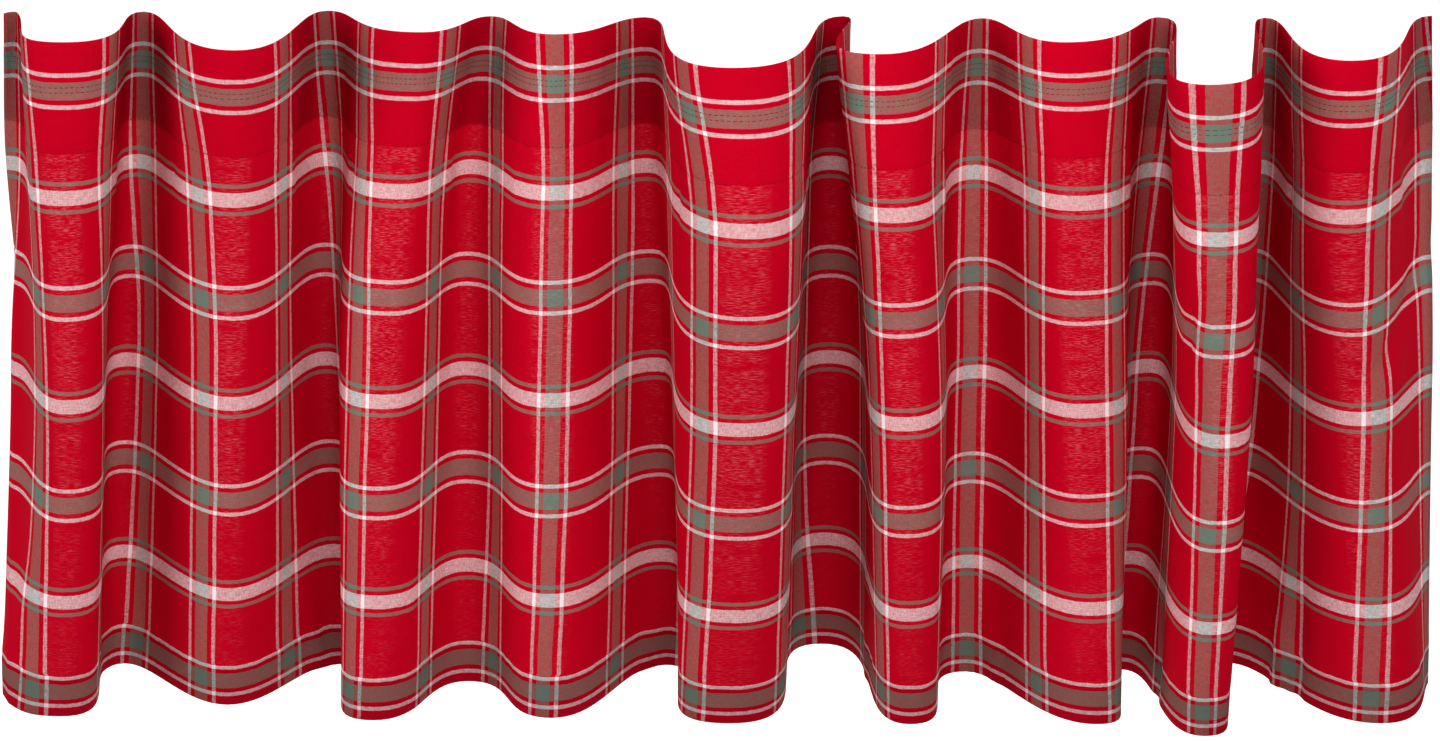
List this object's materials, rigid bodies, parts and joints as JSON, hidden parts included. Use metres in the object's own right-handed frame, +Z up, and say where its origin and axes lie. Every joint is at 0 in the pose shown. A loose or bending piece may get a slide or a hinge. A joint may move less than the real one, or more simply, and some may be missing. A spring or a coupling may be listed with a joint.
{
  "type": "window valance",
  "caption": "Gathered plaid cotton window valance with a ruffled heading, a stitched rod pocket and a plain hem, hanging in uneven soft folds.",
  "frame": {"origin": "middle of the valance's top edge, in the plane of the backs of its folds", "axes": "+X along the window to the right as seen from the room, +Y toward the window, +Z up"},
  "size_m": [0.8789, 0.1724, 0.426],
  "materials": {
    "plaid_cotton": "matt yarn-dyed plain weave, red ground with grey-green and off-white window-pane stripes"
  },
  "bodies": {
    "root": {"valance_panel": "plaid_cotton"}
  },
  "joints": []
}
